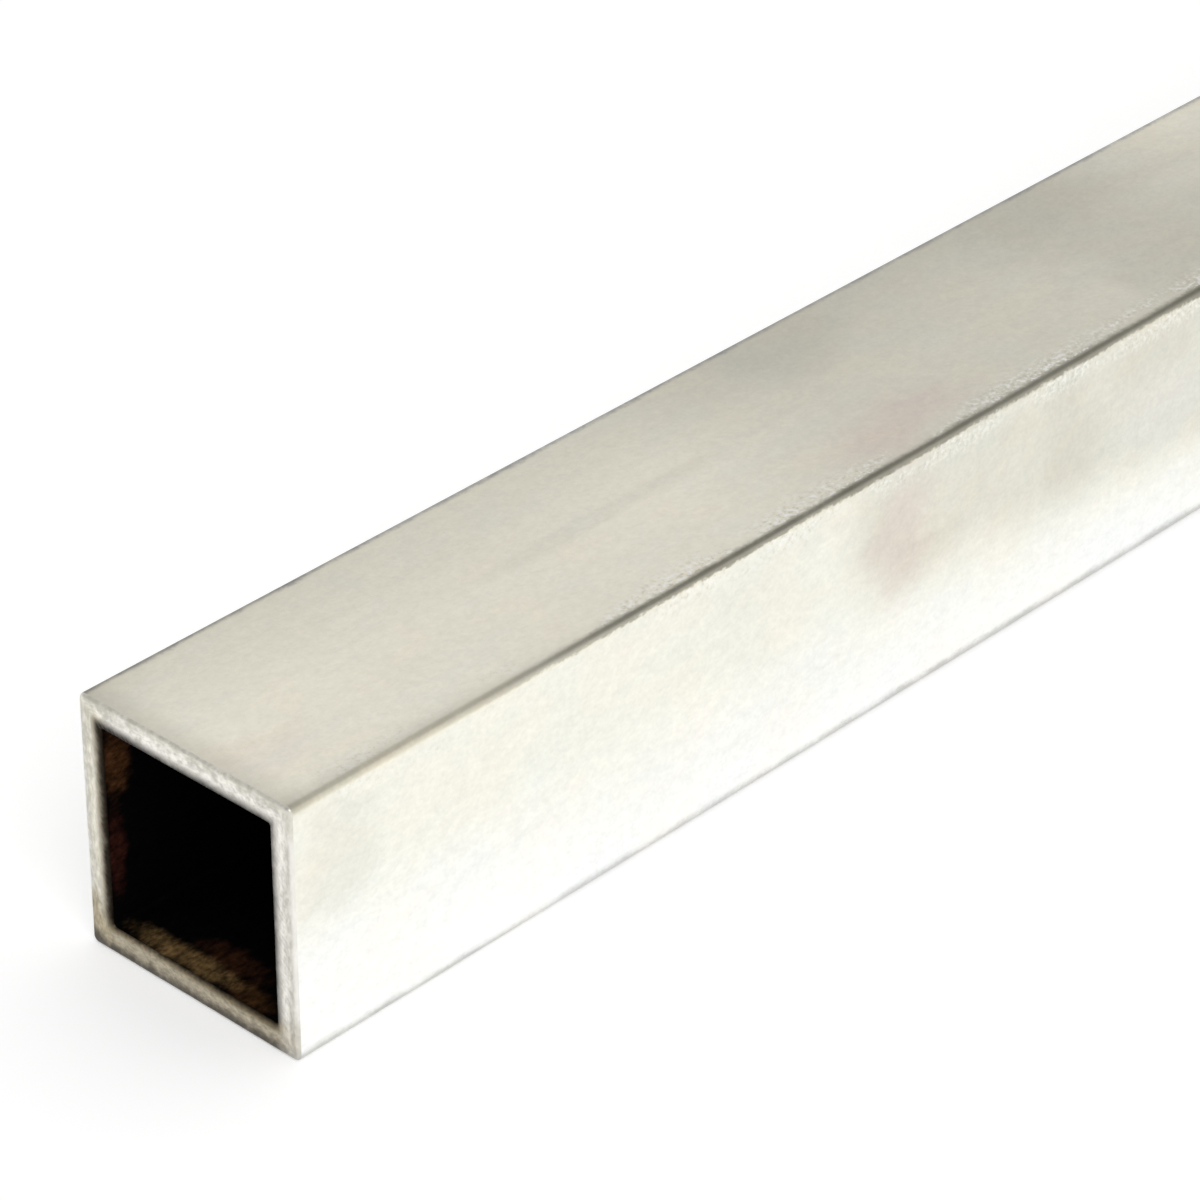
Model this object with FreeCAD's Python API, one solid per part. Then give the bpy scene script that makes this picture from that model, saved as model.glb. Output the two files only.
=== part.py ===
import FreeCAD, Part
import os

# Square aluminium tube, extruded and then sawn to length, in millimetres.
# X runs along the tube, Z is up, and the origin is the middle of the underside.

# Section of the extrusion
side = 20.0
wall = 2.0
outer_corner_radius = 0.4
inner_corner_radius = 0.3

# Sawn length, and the burr rounded off both ends, outside and at the bore
length = 300.0
outer_end_radius = 0.3
inner_end_radius = 0.3

# Shares of the wall that the end roundings may take, so that they never meet
most_outside = 0.5
most_at_bore = 0.4

# Size of the bore, and how closely an edge is matched when it is picked
bore = side - 2 * wall
tolerance = 0.001


def square_bar(across, corner_radius, underside):
    """Square bar over the whole length, with its long corners rounded."""
    corner = FreeCAD.Vector(-length / 2, -across / 2, underside)
    bar = Part.makeBox(length, across, across, corner)
    long_edges = [edge for edge in bar.Edges if abs(edge.Length - length) < tolerance]
    return bar.makeFillet(corner_radius, long_edges)


def in_end_plane(edge):
    """True for an edge that lies flat in the plane of a sawn end."""
    box = edge.BoundBox
    return box.XLength < tolerance and abs(abs(box.XMin) - length / 2) < tolerance


def from_axis(edge):
    """How far the edge reaches from the tube's middle line, level or upright."""
    box = edge.BoundBox
    return max(-box.YMin, box.YMax, side / 2 - box.ZMin, box.ZMax - side / 2)


def round_ends(tube):
    """Rounds the rim of both sawn ends, outside and round the mouths of the bore."""
    half_wall_line = side / 2 - wall / 2
    rims = [edge for edge in tube.Edges if in_end_plane(edge)]
    outer_rims = [edge for edge in rims if from_axis(edge) > half_wall_line]
    filed = tube.makeFillet(min(outer_end_radius, most_outside * wall), outer_rims)
    mouths = [edge for edge in filed.Edges if in_end_plane(edge) and from_axis(edge) < bore / 2 + tolerance]
    return filed.makeFillet(min(inner_end_radius, most_at_bore * wall), mouths)


def square_tube():
    """The whole tube, one extruded piece, open right through."""
    bar = square_bar(side, outer_corner_radius, 0)
    return round_ends(bar.cut(square_bar(bore, inner_corner_radius, wall)))


os.makedirs("parts", exist_ok=True)
tube = square_tube().Solids[0]
tube.exportStep("parts/square_tube.step")
print("volume", round(tube.Volume, 1), "faces", len(tube.Faces), "valid", tube.isValid())
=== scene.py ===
import math
import bpy
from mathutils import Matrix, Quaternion, Vector, noise


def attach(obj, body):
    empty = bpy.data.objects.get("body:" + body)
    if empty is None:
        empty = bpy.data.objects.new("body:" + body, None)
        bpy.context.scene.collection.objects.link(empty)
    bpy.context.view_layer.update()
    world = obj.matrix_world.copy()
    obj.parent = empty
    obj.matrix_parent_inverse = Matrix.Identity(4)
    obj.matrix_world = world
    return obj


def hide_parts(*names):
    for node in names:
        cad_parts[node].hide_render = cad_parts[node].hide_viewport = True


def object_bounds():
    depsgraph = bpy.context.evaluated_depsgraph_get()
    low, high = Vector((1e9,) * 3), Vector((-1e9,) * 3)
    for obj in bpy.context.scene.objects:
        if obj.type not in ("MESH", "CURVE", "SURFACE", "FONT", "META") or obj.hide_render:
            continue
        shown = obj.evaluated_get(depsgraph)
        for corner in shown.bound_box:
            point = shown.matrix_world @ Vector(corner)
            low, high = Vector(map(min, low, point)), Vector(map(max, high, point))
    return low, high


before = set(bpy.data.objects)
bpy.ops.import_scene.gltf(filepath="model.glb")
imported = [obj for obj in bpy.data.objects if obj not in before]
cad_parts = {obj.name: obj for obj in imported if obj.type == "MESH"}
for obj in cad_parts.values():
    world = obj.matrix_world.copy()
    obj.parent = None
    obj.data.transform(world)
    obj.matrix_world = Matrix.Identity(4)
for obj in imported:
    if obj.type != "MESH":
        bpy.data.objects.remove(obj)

# A square aluminium tube, sawn at both ends, on a white studio floor. Metres, X along the tube.
NODE = "square_tube"
CAD_LOW, CAD_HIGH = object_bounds()
SIDE = CAD_HIGH.z - CAD_LOW.z
LENGTH = CAD_HIGH.x - CAD_LOW.x
MM = 0.001

# Section and sawn ends, as in the solid
WALL = 2.0 * MM
OUTER_RADIUS = 0.4 * MM
INNER_RADIUS = 0.3 * MM
OUTER_END = 0.3 * MM
INNER_END = 0.3 * MM

# Relief of the sawn ends, always into the metal: its depth, and how much of it is grit rather than swell
SAW_RELIEF = 0.06 * MM
RIM_RELIEF = 0.08 * MM
GRIT_SHARE = 0.6

# How steeply the wear falls away from the rims
RIM_SHARPNESS = 4

# Unevenness of the sawn ends: size of its features, and a shift that keeps each noise apart from the others
GRIT = (0.45 * MM, 1.7)
SWELL = (2.6 * MM, 7.3)
RIM = (0.9 * MM, 4.1)
WEAR = (6.0 * MM, 9.2)

# Mesh fineness
ARC_SPANS = 8
SIDE_SPANS = 112
ROUND_SPANS = 5
RING_SPANS = 12
LENGTH_SPANS = 30

# Regions of the wall's profile, which are also the material slots
SKIN, SAWN, BORE = 0, 1, 2


def section_loop(inset):
    """Points of the section at a depth below the skin: y, z, and how far round it the nearest corner is."""
    half = SIDE / 2 - inset
    radius = OUTER_RADIUS + (INNER_RADIUS - OUTER_RADIUS) * inset / WALL
    straight = half - radius
    mid_corner = math.pi / 4
    loop = []
    for quarter in range(4):
        turn = quarter * math.pi / 2
        across, along = (math.cos(turn), math.sin(turn)), (-math.sin(turn), math.cos(turn))
        stations = []
        for i in range(SIDE_SPANS):
            place = straight * (2 * i / SIDE_SPANS - 1)
            stations.append((half, place, straight - abs(place) + radius * mid_corner))
        for i in range(ARC_SPANS):
            angle = i / ARC_SPANS * math.pi / 2
            out, side = straight + radius * math.cos(angle), straight + radius * math.sin(angle)
            stations.append((out, side, radius * abs(angle - mid_corner)))
        for out, side, away in stations:
            y, z = (out * across[k] + side * along[k] for k in (0, 1))
            loop.append((y, z + SIDE / 2, away))
    return loop


def graded(start, stop, spans):
    """Stations between two values, closer together near both ends."""
    return [start + (stop - start) * (0.5 - 0.5 * math.cos(math.pi * i / spans)) for i in range(spans + 1)]


def end_profile():
    """Stations over one sawn end: distance back from the end plane, and depth below the skin."""
    stations = []
    for i in range(1, ROUND_SPANS + 1):
        angle = i / ROUND_SPANS * math.pi / 2
        stations.append((OUTER_END * (1 - math.sin(angle)), OUTER_END * (1 - math.cos(angle))))
    ring_stop = WALL - INNER_END
    for i in range(1, RING_SPANS + 1):
        stations.append((0.0, OUTER_END + (ring_stop - OUTER_END) * i / RING_SPANS))
    for i in range(1, ROUND_SPANS + 1):
        angle = i / ROUND_SPANS * math.pi / 2
        stations.append((INNER_END * (1 - math.cos(angle)), ring_stop + INNER_END * math.sin(angle)))
    return stations


def wall_profile():
    """Closed profile of the wall along the tube, as (x, depth, slot) from skin to end to bore to end."""
    end = LENGTH / 2
    skin = [(x, 0.0, SKIN) for x in graded(-end + OUTER_END, end - OUTER_END, LENGTH_SPANS)]
    right = [(end - back, depth, SAWN) for back, depth in end_profile()]
    bore = [(x, WALL, BORE) for x in graded(end - INNER_END, -end + INNER_END, LENGTH_SPANS)][1:]
    left = [(-end + back, depth, SAWN) for back, depth in reversed(end_profile())][1:]
    return skin + right + bore + left


def unevenness(place, size, shift):
    """Noise from 0 to 1 at a place, with features of about the given size."""
    return 0.5 + 0.5 * noise.noise(place / size + Vector((shift, 2 * shift, 3 * shift)))


def sawn_point(x, y, z, depth):
    """A point of a sawn end, set back by the saw's relief and with its rims worn unevenly inwards."""
    place = Vector((x, y, z))
    relief = GRIT_SHARE * unevenness(place, *GRIT) + (1 - GRIT_SHARE) * unevenness(place, *SWELL)
    rim = abs(2 * depth / WALL - 1) ** RIM_SHARPNESS
    wear = RIM_RELIEF * rim * unevenness(place, *RIM) * unevenness(place, *WEAR)
    back = SAW_RELIEF * relief * (1 - rim) + wear
    return x - math.copysign(back, x), y, z


def tube_mesh():
    """The whole tube as one closed grid of quads, round the section and round the wall's profile."""
    profile = wall_profile()
    around = len(section_loop(0.0))
    points, corners, depths = [], [], []
    for x, depth, slot in profile:
        for y, z, away in section_loop(depth):
            sawn = slot == SAWN and 0 < depth < WALL
            points.append(sawn_point(x, y, z, depth) if sawn else (x, y, z))
            corners.append(away / MM)
            depths.append(depth / WALL)
    faces, slots = [], []
    for ring in range(len(profile)):
        next_ring = (ring + 1) % len(profile)
        kinds = (profile[ring][2], profile[next_ring][2])
        slot = SAWN if SAWN in kinds else kinds[0]
        first, next_first = ring * around, next_ring * around
        for k in range(around):
            beside = (k + 1) % around
            faces.append((first + k, first + beside, next_first + beside, next_first + k))
            slots.append(slot)
    mesh = bpy.data.meshes.new("square_tube_skin")
    mesh.from_pydata(points, [], faces)
    mesh.polygons.foreach_set("material_index", slots)
    mesh.polygons.foreach_set("use_smooth", [True] * len(faces))
    mesh.attributes.new("from_corner", "FLOAT", "POINT").data.foreach_set("value", corners)
    mesh.attributes.new("depth", "FLOAT", "POINT").data.foreach_set("value", depths)
    mesh.update()
    return mesh


class Field:
    """What a node gives: a number, colour or vector that varies over a surface. Arithmetic is for numbers."""

    def __init__(self, graph, socket):
        self.graph, self.socket = graph, socket

    def __add__(self, other):
        return self.graph.math("ADD", self, other)

    def __sub__(self, other):
        return self.graph.math("SUBTRACT", self, other)

    def __rsub__(self, other):
        return self.graph.math("SUBTRACT", other, self)

    def __mul__(self, other):
        return self.graph.math("MULTIPLY", self, other)

    def __abs__(self):
        return self.graph.math("ABSOLUTE", self)

    __radd__, __rmul__ = __add__, __mul__

    def at_least(self, other):
        return self.graph.math("MAXIMUM", self, other)

    def at_most(self, other):
        return self.graph.math("MINIMUM", self, other)

    def sine(self):
        return self.graph.math("SINE", self)

    def length(self):
        return self.graph.vector("LENGTH", self)

    def ramp(self, low, high, to_low=0.0, to_high=1.0, shape="SMOOTHSTEP"):
        """Goes from one level to another, and no further, as this number goes from low to high."""
        node = self.graph.nodes.new("ShaderNodeMapRange")
        node.interpolation_type = shape
        inputs = {"Value": self, "From Min": low, "From Max": high, "To Min": to_low, "To Max": to_high}
        return self.graph.output(node, 0, inputs)

    def linear(self, low, high, to_low, to_high):
        """As ramp, but in a straight line."""
        return self.ramp(low, high, to_low, to_high, "LINEAR")

    def spread(self, to_low, to_high):
        """A noise, nearly all of which lies between 0.3 and 0.7, spread over the given range."""
        return self.linear(0.3, 0.7, to_low, to_high)

    def tinted(self, factor):
        """This colour times a number or times another colour."""
        return self.graph.vector("MULTIPLY", self, factor)


class Graph:
    """The nodes of a material or a world, with short calls for those that are used most."""

    def __init__(self, tree):
        self.nodes, self.links = tree.nodes, tree.links

    def fill(self, node, inputs):
        """Gives inputs of a node their values: plain ones, or what another node gives."""
        for name, value in inputs.items():
            if isinstance(value, Field):
                self.links.new(value.socket, node.inputs[name])
            else:
                node.inputs[name].default_value = value

    def output(self, node, name, inputs):
        """One output of a node, once its inputs are filled."""
        self.fill(node, inputs)
        return Field(self, node.outputs[name])

    def math(self, operation, *values):
        node = self.nodes.new("ShaderNodeMath")
        node.operation = operation
        return self.output(node, 0, dict(enumerate(values)))

    def vector(self, operation, *values):
        node = self.nodes.new("ShaderNodeVectorMath")
        node.operation = operation
        name = "Value" if operation in ("LENGTH", "DOT_PRODUCT") else "Vector"
        return self.output(node, name, dict(enumerate(values)))

    def parts(self, vector):
        """The three parts of a vector, as numbers."""
        node = self.nodes.new("ShaderNodeSeparateXYZ")
        self.fill(node, {0: vector})
        return [Field(self, part) for part in node.outputs]

    def coordinates(self, kind):
        return self.output(self.nodes.new("ShaderNodeTexCoord"), kind, {})

    def seen_directly(self):
        """1 for what the camera, a gloss or glass sees, 0 for light that falls on a surface."""
        path = self.nodes.new("ShaderNodeLightPath")
        names = ("Is Camera Ray", "Is Glossy Ray", "Is Transmission Ray")
        camera, gloss, glass = (Field(self, path.outputs[name]) for name in names)
        return camera.at_least(gloss).at_least(glass)


class Finish(Graph):
    """A material of the tube. Places and sizes are in millimetres."""

    def __init__(self, name):
        self.material = bpy.data.materials.new(name)
        self.material.use_nodes = True
        super().__init__(self.material.node_tree)
        self.bsdf = self.nodes["Principled BSDF"]
        self.place = self.vector("MULTIPLY", self.coordinates("Object"), (1 / MM, 1 / MM, 1 / MM))
        self.x, self.y, self.z = self.parts(self.place)

    def combine(self, x, y, z):
        return self.output(self.nodes.new("ShaderNodeCombineXYZ"), 0, {0: x, 1: y, 2: z})

    def attribute(self, name):
        """A number that the mesh holds for each point."""
        node = self.nodes.new("ShaderNodeAttribute")
        node.attribute_name = name
        return self.output(node, "Fac", {})

    def from_opening(self):
        """Distance from the nearer end of the tube, along it."""
        return HALF_LENGTH - abs(self.x)

    def across(self):
        """The place without its part along the tube."""
        return self.vector("MULTIPLY", self.place, (0, 1, 1))

    def noise(self, size, detail=2.0, rough=0.5, offset=(0, 0, 0)):
        """Noise from 0 to 1 whose features measure size (x, y, z)."""
        placed = self.vector("ADD", self.vector("DIVIDE", self.place, size), offset)
        node = self.nodes.new("ShaderNodeTexNoise")
        inputs = {"Vector": placed, "Scale": 1.0, "Detail": detail, "Roughness": rough}
        return self.output(node, "Fac", inputs)

    def patch(self, centre, size, edge, place=None):
        """1 within a soft ellipsoid, fading to 0 outside; edge is noise that breaks up its outline."""
        away = self.vector("DIVIDE", self.vector("SUBTRACT", place or self.place, centre), size)
        return (away.length() + (edge - 0.5) * 1.8).ramp(0.35, 1.15, 1.0, 0.0)

    def finished(self, colour, rough, height, relief, metallic=1.0):
        """The material, with colour, roughness and height joined to it; relief is in metres."""
        bump = self.nodes.new("ShaderNodeBump")
        normal = self.output(bump, 0, {"Strength": 1.0, "Distance": relief, "Height": height})
        inputs = {"Base Color": colour, "Roughness": rough, "Metallic": metallic, "Normal": normal}
        self.fill(self.bsdf, inputs)
        return self.material


def mix(share, under, over):
    """One colour or noise, of which the given share is covered by another."""
    node = share.graph.nodes.new("ShaderNodeMix")
    node.data_type = "RGBA"
    first, second = ((*colour, 1) if isinstance(colour, tuple) else colour for colour in (under, over))
    return share.graph.output(node, 2, {0: share, 6: first, 7: second})


# Colours of the clean skin and of its painted light, of what lies on it and of painted shade, of the sawn
# ends and of the bore
CLEAN_AND_LIT = (0.972, 0.972, 0.955)
UPRIGHT = (0.895, 0.886, 0.795)
MILL_WITH_TOP_REFLECTION = (0.914, 0.878, 0.752)
HAZE_AND_SHADE = (0.640, 0.618, 0.530)
SCUFF = (0.740, 0.620, 0.565)
GREY = (0.790, 0.790, 0.755)
GRIME_AND_SHADE = (0.33, 0.315, 0.255)
GREY_GRIME_AND_SHADE = (0.345, 0.34, 0.325)
BRIGHT_CUT = (0.95, 0.925, 0.87)
DULL_CUT = (0.57, 0.555, 0.50)
FILED_AND_LIT = (0.93, 0.915, 0.865)
TOP_RIM_SHADE = (0.62, 0.585, 0.48)
STAIN_AND_SHADE = (0.42, 0.365, 0.265)
DARK_STAIN_AND_SHADE = (0.056, 0.044, 0.028)
SOOT_AND_SHADE = (0.012, 0.006, 0.003)
UNTINTED = (1, 1, 1)
YELLOWED = (1.0, 0.985, 0.925)
BROWNED = (1.0, 0.90, 0.70)
BORE_SHADE = (0.0012, 0.0010, 0.0010)

# Where the faces are, in millimetres, for the soft areas that lie on them
TOP, FRONT = 20, -10
BORE_FLOOR, BORE_LEFT = 2, 8
HALF_SIDE = SIDE / 2 / MM
HALF_LENGTH = LENGTH / 2 / MM

# Haze and painted shade on the top and the front: centre, size and strength of each soft area
TOP_HAZE_AND_SHADE = (((-84, 7.0, TOP), (7, 5, 3), 0.15),
            ((-149, 9, TOP), (4, 3, 3), 0.12),
            ((-110, 0.4, TOP), (19, 1.0, 2), 0.16),
            ((-52, 1, TOP), (13, 15, 3), 0.26))
FRONT_HAZE_AND_SHADE = (((-90.5, FRONT, 15.0), (4.5, 3, 5.5), 0.13),
              ((-88, FRONT, 11.0), (5.0, 3, 2.6), 0.20),
              ((-104, FRONT, 15), (9, 3, 6), 0.10),
              ((-71, FRONT, 12.5), (4.5, 3, 7.5), 0.15),
              ((-61, FRONT, 16.5), (6.0, 3, 3.5), 0.15),
              ((-146, FRONT, 14.5), (5.0, 3, 4.5), 0.22))

# Discoloured areas of the skin, and brown ones in the bore, which also stand for painted light just inside
# the openings, where x is the distance from the opening
SCUFFS = (((-90, FRONT, 14), (4.0, 2, 6.5), 0.42, SCUFF),
          ((-86.5, -6.0, TOP), (7.5, 3.6, 2), 0.48, SCUFF),
          ((-147, -4, TOP), (4.0, 3.0, 2), 0.18, SCUFF),
          ((-60, FRONT, 11.5), (7.0, 2, 5.0), 0.50, GREY))
BORE_STAINS_AND_LIGHT = (((3.0, -0.8, BORE_FLOOR), (1.5, 3.6, 1.2), 0.80, (0.030, 0.011, 0.005)),
               ((1.1, -4.4, BORE_FLOOR), (1.2, 2.5, 1.2), 0.60, (0.055, 0.024, 0.008)),
               ((1.25, 2.1, BORE_FLOOR), (1.2, 5.8, 1.2), 0.88, (0.125, 0.076, 0.030)),
               ((1.3, BORE_LEFT, 15.1), (1.45, 1.5, 3.2), 0.80, (0.075, 0.030, 0.011)),
               ((0.9, BORE_LEFT, 7.7), (1.0, 1.5, 3.9), 0.78, (0.034, 0.009, 0.006)))

# Arcs that the saw left: the middle of the blade, and the distance from one mark to the next
SAW_CENTRE = (0, -95, 100)
SAW_PITCH = 0.34

# Depth of the fine relief in each material
LINE_RELIEF = 0.004 * MM
GRIT_RELIEF = 0.04 * MM
FILM_RELIEF = 0.03 * MM


def add_areas(finish, base, areas, edge):
    """A number plus the strength of each soft area where it lies."""
    for centre, size, strength in areas:
        base = base + finish.patch(centre, size, edge) * strength
    return base


def paint_areas(finish, colour, areas, edge, place=None):
    """A colour with each soft area painted over it in its own shade."""
    for centre, size, strength, shade in areas:
        colour = mix(finish.patch(centre, size, edge, place) * strength, colour, shade)
    return colour


def skin_haze_and_shade(skin, cloud, wisp, drift, level, is_top):
    """Oxide haze and painted shade, from 0 to 1: listed areas near the photographed end, and cloudy
    elsewhere.
    """
    x, y, z = skin.x, skin.y, skin.z

    # On top: more towards the back, and more away from the near end
    top = (y + drift * 0.7).ramp(-2.5, 10.5, 0.0, 0.42) + (x + drift).ramp(-106, -85, 0.0, 0.43)
    top = add_areas(skin, top + x.ramp(-145, -115, 0.0, 0.10), TOP_HAZE_AND_SHADE, wisp)

    # In front: beyond a loose boundary, in the upper part, deepest in a few lobes
    beyond = (x + drift * 0.6).ramp(-98.5, -92.5, 0.0, 0.53)
    upper = (level + (x * 0.085 + 7.0)).ramp(6.5, 12.5) * z.ramp(17.5, 19.3, 1.0, 0.72)
    front = add_areas(skin, beyond * upper, FRONT_HAZE_AND_SHADE, wisp)
    by_hand = is_top * (top - front) + front

    cloudy = skin.noise((60, 16, 16), detail=3, rough=0.55, offset=(3, 3, 5)).ramp(0.30, 0.70, 0.12, 0.72)
    cloudy = cloudy * level.ramp(6.5, 12.5, 0.25, 1.0).at_least(is_top)
    photographed = x.ramp(-58, -34, 1.0, 0.0) * z.ramp(19.0, 19.7).at_least(y.ramp(-5, 5, 1.0, 0.0))
    haze_and_shade = photographed * (by_hand - cloudy) + cloudy + cloud.spread(-0.06, 0.06)
    return haze_and_shade.at_least(0.0).at_most(1.0)


def skin_mottling(skin, lines, wisp, mottle, grain):
    """Factor on the skin's colour: lines, mottling and grain, and slightly pink and green areas."""
    shade = lines.spread(-0.006, 0.006) + wisp.spread(-0.014, 0.014)
    shade = shade + mottle.spread(-0.033, 0.033) + grain.spread(-0.042, 0.042) + 1.0
    warm = skin.noise((6, 4, 4), detail=3, offset=(9, 1, 4)).linear(0.35, 0.65, -0.012, 0.012)
    return skin.combine(shade + warm, shade, shade - warm)


def corner_grime_and_shade(skin, colour, corner, below_edge, grain, drift):
    """Grime and painted shade along the long corners, uneven in width: least at the near end and along the
    bottom.
    """
    x, y, z = skin.x, skin.y, skin.z
    waver = skin.noise((3.0, 1.5, 1.5), detail=4, rough=0.65, offset=(1, 5, 5))
    narrow = corner + waver.spread(0.14, -0.14) + grain.spread(0.12, -0.12) - z.ramp(1, 2, 0.12, 0.0)
    broad = x.ramp(-98, -72, 0.0, 0.11) * y.ramp(0, 4, 1.0, 0.0)
    wide = (narrow - broad).ramp(0.05, 0.78, 1.0, 0.0)
    sharp = narrow.ramp(0.24, 0.50, 1.0, 0.0)
    at_corner = below_edge * (sharp - wide) + wide

    # How strong it is along the near corner, along the bottom and along the back corner
    near = (x + drift).ramp(-141, -112, 0.02, 0.92) * z.ramp(5, 15, 0.5, 1.0)
    bottom = z.ramp(1, 2, 0.58, 0.0) * x.ramp(-150, -90, 0.80, 1.0)
    back = y.ramp(6, 9) * z.ramp(15, 18, 0.0, 0.98)
    strength = near.at_least(bottom).at_least(back) * waver.spread(0.85, 1.08)
    greyer = y.ramp(-2, 5).at_least(z.ramp(4, 8, 1.0, 0.0))
    return mix(at_corner * strength, colour, mix(greyer, GRIME_AND_SHADE, GREY_GRIME_AND_SHADE))


def corner_nicks(skin, colour, corner, below_edge):
    """Tiny bright nicks, partly a painted highlight, and a few dark ones, in clusters beside the long
    corners.
    """
    x, y, z = skin.x, skin.y, skin.z
    nick = skin.noise((0.42, 0.40, 0.40), detail=2, rough=0.6, offset=(8, 3, 7))
    cluster = skin.noise((7, 3, 3), detail=2, offset=(6, 6, 1)).ramp(0.38, 0.56)
    beside = corner.ramp(0.34, 0.55) * corner.ramp(0.6, 2.9, 1.0, 0.0)
    beside = beside * cluster * (1.0 - below_edge * 0.35) * x.ramp(-132, -112, 0.6, 1.0)
    beside = beside * y.ramp(0, 4, 1.0, 0.0) * z.ramp(6, 12, 0.2, 1.0)
    colour = mix(beside * nick.ramp(0.51, 0.61, 0.0, 0.90), colour, CLEAN_AND_LIT)
    return mix(beside * nick.ramp(0.36, 0.44, 0.34, 0.0), colour, GRIME_AND_SHADE)


def mill_finish():
    """Extruded skin: faint die lines, granular mottling, soft oxide haze and painted shade, a painted floor
    reflection low on the upright faces, nicks and grimy long corners with painted shade.
    """
    skin = Finish("mill_finish")
    x, y, z = skin.x, skin.y, skin.z
    lines = skin.noise((40, 0.28, 0.28), detail=3)
    cloud = skin.noise((24, 11, 9), detail=3, rough=0.55)
    wisp = skin.noise((7, 4.5, 4.5), detail=4, rough=0.6, offset=(5, 2, 9))
    mottle = skin.noise((1.3, 1.0, 1.0), detail=2, rough=0.6, offset=(7, 3, 2))
    grain = skin.noise((0.38, 0.32, 0.32), detail=3, rough=0.65, offset=(2, 4, 6))
    drift = (wisp - 0.5) * 6.0
    corner = skin.attribute("from_corner")

    # The upright faces are brightest along the bottom and fade upwards, a painted reflection of the bright
    # floor
    is_top = z.ramp(19.0, 19.8)
    upright = abs(y).ramp(9.2, 9.9) * (1.0 - is_top)
    level = z + (cloud - 0.5) * 4.0 + drift * 0.5
    floor_reflection = (level + (x * 0.045 + 6.3)).ramp(3.5, 14.5, 1.0, 0.0) * upright
    haze_and_shade = skin_haze_and_shade(skin, cloud, wisp, drift, level, is_top)
    # The top's tint, unlike that of the upright faces, is a painted reflection
    colour = mix(upright, MILL_WITH_TOP_REFLECTION, UPRIGHT)
    colour = mix(floor_reflection, colour, CLEAN_AND_LIT)
    # Haze, part oxide and part painted shade, heavier on the upper front and towards the back of the top
    colour = mix(haze_and_shade, colour, HAZE_AND_SHADE)
    colour = paint_areas(skin, colour, SCUFFS, wisp)
    colour = colour.tinted(skin_mottling(skin, lines, wisp, mottle, grain))

    # The upright side of the upper corners has the narrower grime and painted shade, and fewer nicks
    below_edge = (abs(y) - (z - HALF_SIDE)).ramp(-0.12, 0.12) * z.ramp(12, 15)
    colour = corner_grime_and_shade(skin, colour, corner, below_edge, grain, drift)
    colour = corner_nicks(skin, colour, corner, below_edge)

    # Painted shade: a soft grey line on top, just behind the saw cut, and a softer one beside the near corner
    behind_cut = skin.from_opening().ramp(0.3, 3.0, 0.27, 0.0) * z.ramp(18.8, 20)
    colour = mix(behind_cut, colour, GRIME_AND_SHADE)
    near_end = x.ramp(-138, -118, 1.0, 0.2)
    shadow = corner.ramp(0.2, 1.6, 0.28, 0.0) + corner.ramp(0.3, 3.2, 0.16, 0.0)
    shadow = shadow * near_end * (is_top - below_edge * 0.45) * y.ramp(2, 8, 0.80, 0.2)
    colour = mix(shadow, colour, GRIME_AND_SHADE)

    blunt = corner.ramp(0.25, 0.6, 0.40, 0.0) * near_end
    rough = lines.spread(0.31, 0.37) + haze_and_shade * 0.08 + blunt + mottle.spread(-0.02, 0.02)
    return skin.finished(colour, rough, lines + grain * 0.8, LINE_RELIEF)


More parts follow.
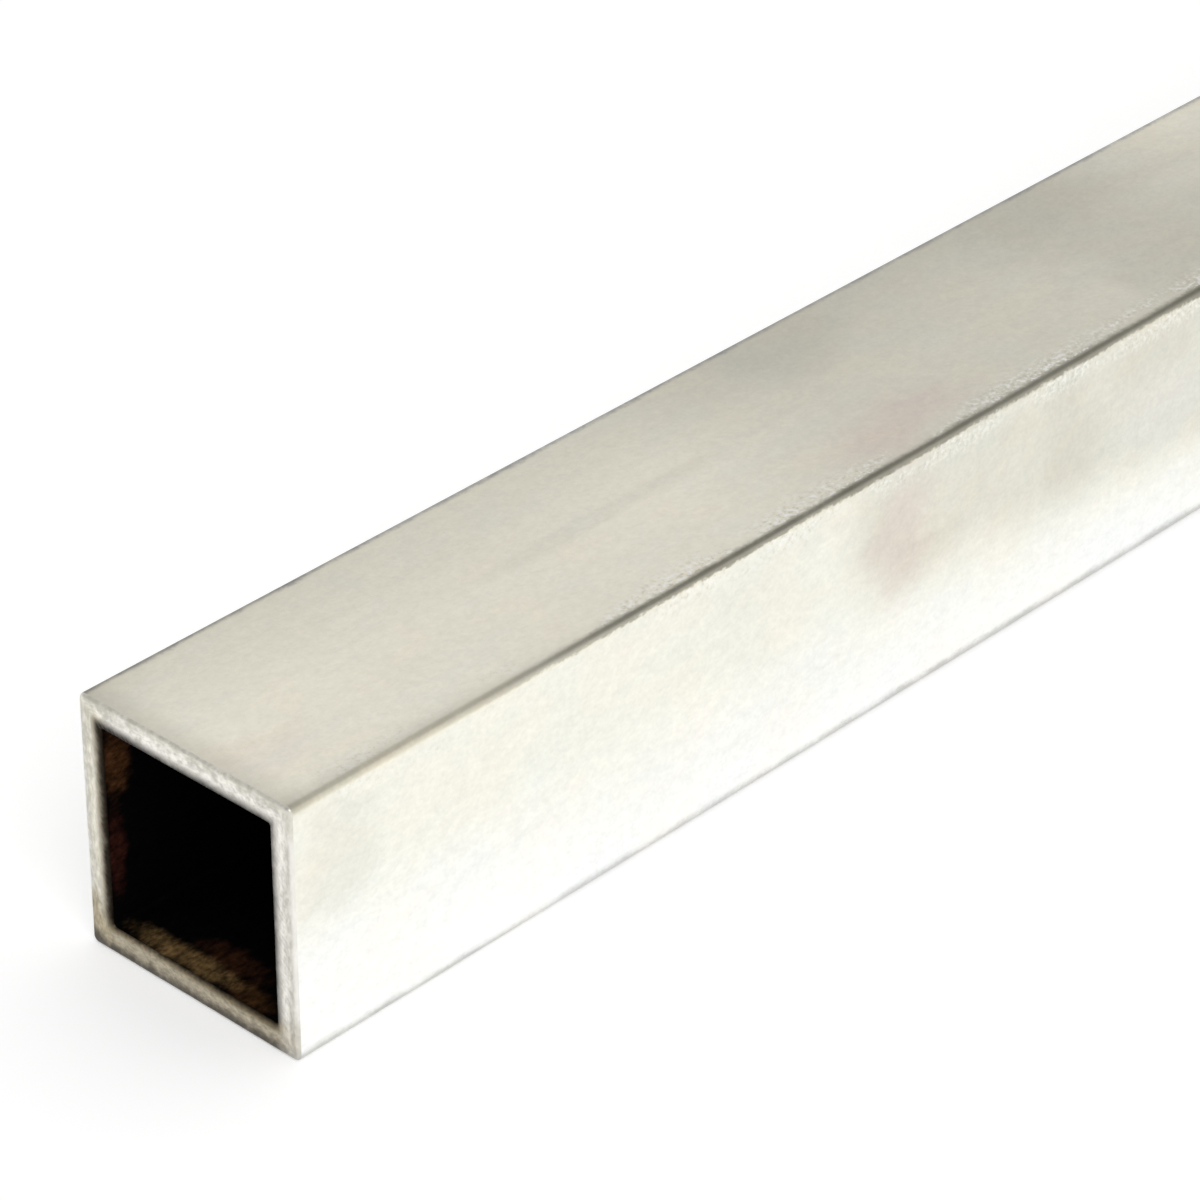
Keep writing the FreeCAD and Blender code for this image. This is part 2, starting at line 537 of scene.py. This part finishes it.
def sawn_end():
    """Sawn end: grainy, with curved saw marks and painted light and shade, stained and painted darker along
    the bottom, and sooty with painted shade at the bore.
    """
    cut = Finish("sawn_end")
    y, z = cut.y, cut.z
    left, right = y.ramp(7.0, 8.5), y.ramp(-8.5, -7.0, 1.0, 0.0)
    upper, lower = z.ramp(17.0, 18.5), z.ramp(1.5, 3.0, 1.0, 0.0)
    depth = cut.attribute("depth") * (WALL / MM)
    spots = cut.noise((0.95, 0.95, 0.95), detail=2, rough=0.6, offset=(4, 4, 1))
    blot = cut.noise((3.2, 3.2, 3.2), detail=2, offset=(1, 6, 2))
    ragged = depth + (spots - 0.5) * 0.5

    # The grit is drawn out along each wall
    level_wall = (abs(z - HALF_SIDE) - abs(y)).ramp(-0.5, 0.5)
    upright_grit = cut.noise((0.5, 0.30, 0.80), detail=3, rough=0.6)
    level_grit = cut.noise((0.5, 0.55, 0.26), detail=3, rough=0.6)
    grit = mix(level_wall, upright_grit, level_grit)

    # Saw marks are arcs about the blade's middle, filed off along the outer rim
    from_blade = cut.vector("SUBTRACT", cut.across(), SAW_CENTRE).length()
    marks = ((from_blade + spots * 0.35) * (2 * math.pi / SAW_PITCH)).sine() * depth.ramp(0.35, 0.8)

    # Lighter over the inner part of the ring, a painted highlight, and lighter on the right and upper walls
    # and darker on the left, painted light and shade; grit, spots and blots are the cut's own
    light = ragged.ramp(0.45, 1.1) * 0.34 + grit.ramp(0.33, 0.67, 0.0, 0.56)
    light = light + spots.spread(-1.0, 1.0) * (level_wall * 0.22 + 0.26) - blot.ramp(0.45, 0.75, 0.0, 0.22)
    light = light + (right * 0.06 + upper * 0.10 - left * 0.06)
    colour = mix(light, DULL_CUT, BRIGHT_CUT)

    # The filed outer rim is smoother and lighter, most of all next to the bright side, where part of the
    # lightness is a painted reflection; on top it is greyer, which is painted shade
    filed_and_lit = depth.ramp(0.04, 0.34, 1.0, 0.0) * (right * 0.48 + 0.22)
    colour = mix(filed_and_lit * (1.0 - upper * 0.8), colour, FILED_AND_LIT)
    colour = mix(depth.ramp(0.1, 0.75, 0.30, 0.0) * upper, colour, TOP_RIM_SHADE)

    # Brown stain and painted shade along the bottom, climbing the left side, darkest at the lower edge
    low = z + (spots - 0.5) * 2.4 - y.ramp(8.2, 9.8, 0.0, 1.6)
    stained_and_shaded = low.ramp(1.6, 3.8, 0.88, 0.0) * y.ramp(-9.7, -7.6, 0.45, 1.0)
    stain_and_shade = mix((low * 0.35 + z * 0.65).ramp(0.22, 1.25), DARK_STAIN_AND_SHADE, STAIN_AND_SHADE)
    colour = mix(stained_and_shaded, colour, stain_and_shade.tinted(grit.spread(0.62, 1.42)))

    # Soot and painted shade at the bore: less in the lower wall, more in the upper left corner, browner below
    # and on the left
    nook = cut.patch((0, 6.6, 18.2), (1, 3.2, 1.4), spots * 0.4 + 0.3, cut.across())
    lip = ragged + left * 0.05 + (upper * 0.04 - right * 0.05)
    lip = lip - lower * y.ramp(-8, 8, 0.24, 0.48) + nook * 0.14
    browned = (left * 0.55).at_least(lower) * lip.ramp(1.12, 1.7)
    yellowed = left * depth.ramp(0.3, 0.8)
    colour = colour.tinted(mix(browned, UNTINTED, BROWNED))
    colour = colour.tinted(mix(yellowed, UNTINTED, YELLOWED))
    colour = mix(lip.ramp(0.98, 2.0, 0.0, 0.98), colour, SOOT_AND_SHADE)

    rough = grit.spread(0.40, 0.60) + stained_and_shaded * 0.1
    return cut.finished(colour, rough, marks * 0.25 + (grit + spots), GRIT_RELIEF)


def bore_finish():
    """Dark bore, its darkness painted shade: brown stains and painted light just inside the openings, mostly
    on its floor, and black further in.
    """
    bore = Finish("bore")
    place = bore.combine(bore.from_opening(), bore.y, bore.z)
    mottle = bore.noise((1.6, 0.9, 0.9), detail=4, rough=0.65)
    drag = bore.noise((30, 0.5, 0.5), detail=2, offset=(2, 7, 3))
    speck = bore.noise((0.50, 0.32, 0.32), detail=2, rough=0.6, offset=(3, 8, 5))
    # A near-black painted shade, with lighter brown patches of stain and painted light
    colour = paint_areas(bore, BORE_SHADE, BORE_STAINS_AND_LIGHT, mottle.linear(0.0, 1.0, 0.2, 0.8), place)
    colour = colour.tinted(mottle.linear(0.35, 0.65, 1.35, 0.65)).tinted(speck.spread(0.45, 1.50))
    bore.bsdf.inputs["Specular IOR Level"].default_value = 0.04
    return bore.finished(colour, drag.spread(0.6, 0.8), mottle + drag, FILM_RELIEF, metallic=0.0)


def make_tube():
    tube = bpy.data.objects.new("tube", tube_mesh())
    bpy.context.scene.collection.objects.link(tube)
    for finish in (mill_finish, sawn_end, bore_finish):
        tube.data.materials.append(finish())
    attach(tube, "root")
    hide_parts(NODE)


def make_floor():
    """Pale floor just under the tube, which a camera or a gloss sees as white, apart from the shadow."""
    size = 6.0
    gap = 0.05 * MM
    grey = 0.8
    glow_strength = 0.3
    corners = [(-size, -size, 0), (size, -size, 0), (size, size, 0), (-size, size, 0)]
    mesh = bpy.data.meshes.new("floor")
    mesh.from_pydata(corners, [], [(0, 1, 2, 3)])
    floor = bpy.data.objects.new("floor", mesh)
    floor.location.z = -gap
    bpy.context.scene.collection.objects.link(floor)
    mat = bpy.data.materials.new("floor")
    mat.use_nodes = True
    graph = Graph(mat.node_tree)
    nodes = graph.nodes
    diffuse = graph.output(nodes.new("ShaderNodeBsdfDiffuse"), 0, {"Color": (grey, grey, grey, 1)})
    glow = graph.output(nodes.new("ShaderNodeEmission"), 0, {"Strength": glow_strength})
    both = graph.output(nodes.new("ShaderNodeAddShader"), 0, {0: diffuse, 1: glow})
    ways = {0: graph.seen_directly(), 1: diffuse, 2: both}
    surface = graph.output(nodes.new("ShaderNodeMixShader"), 0, ways)
    graph.fill(nodes["Material Output"], {"Surface": surface})
    floor.data.materials.append(mat)


def make_camera():
    """The photograph's view: the left sawn end is near, and the tube runs off to the upper right."""
    photo_width = 1200
    focal_pixels = 5215
    near_corner = Vector((CAD_LOW.x, CAD_LOW.y, CAD_LOW.z))
    sides_from_corner = Vector((-9.232, -10.036, 10.356))
    heading, down, roll = math.radians(43.253), math.radians(32.203), math.radians(0.037)
    data = bpy.data.cameras.new("camera")
    data.sensor_width = 36
    data.lens = focal_pixels / photo_width * data.sensor_width
    camera = bpy.data.objects.new("camera", data)
    bpy.context.scene.collection.objects.link(camera)
    forward = Vector((math.cos(heading) * math.cos(down),
                      math.sin(heading) * math.cos(down), -math.sin(down)))
    camera.rotation_mode = "QUATERNION"
    camera.rotation_quaternion = forward.to_track_quat("-Z", "Y") @ Quaternion((0, 0, 1), roll)
    camera.location = near_corner + SIDE * sides_from_corner
    data.clip_start = 0.01
    bpy.context.scene.camera = camera


def make_world():
    """White down to the horizon, with a ceiling that is light at the back and dark over the front."""
    backwards = (0.139, 0.990, 0)
    dark_ceiling, white = 0.36, 1.0
    soft_light = 0.7
    world = bpy.data.worlds.new("world")
    world.use_nodes = True
    bpy.context.scene.world = world
    graph = Graph(world.node_tree)
    direction = graph.coordinates("Generated")
    behind = graph.vector("DOT_PRODUCT", direction, backwards)
    height = graph.parts(direction)[2]
    ceiling = behind.ramp(0.15, 0.93, dark_ceiling, white)
    sky = height.ramp(0.14, 0.5, white, ceiling)
    strength = graph.seen_directly().ramp(0.0, 1.0, soft_light, sky)
    graph.fill(graph.nodes["Background"], {"Color": (1, 1, 1, 1), "Strength": strength})


def make_lamp():
    """One large soft lamp, above and in front of the near end."""
    across, watts = 1.1, 9
    place, target = Vector((-0.75, -0.9, 1.15)), Vector((-0.1, 0, 0))
    light = bpy.data.lights.new("key", "AREA")
    light.shape = "DISK"
    light.size = across
    light.energy = watts
    lamp = bpy.data.objects.new("key", light)
    bpy.context.scene.collection.objects.link(lamp)
    lamp.location = place
    lamp.rotation_mode = "QUATERNION"
    lamp.rotation_quaternion = (target - place).to_track_quat("-Z", "Y")


make_camera()
make_tube()
make_floor()
make_world()
make_lamp()
bpy.context.scene.view_settings.view_transform = "Standard"
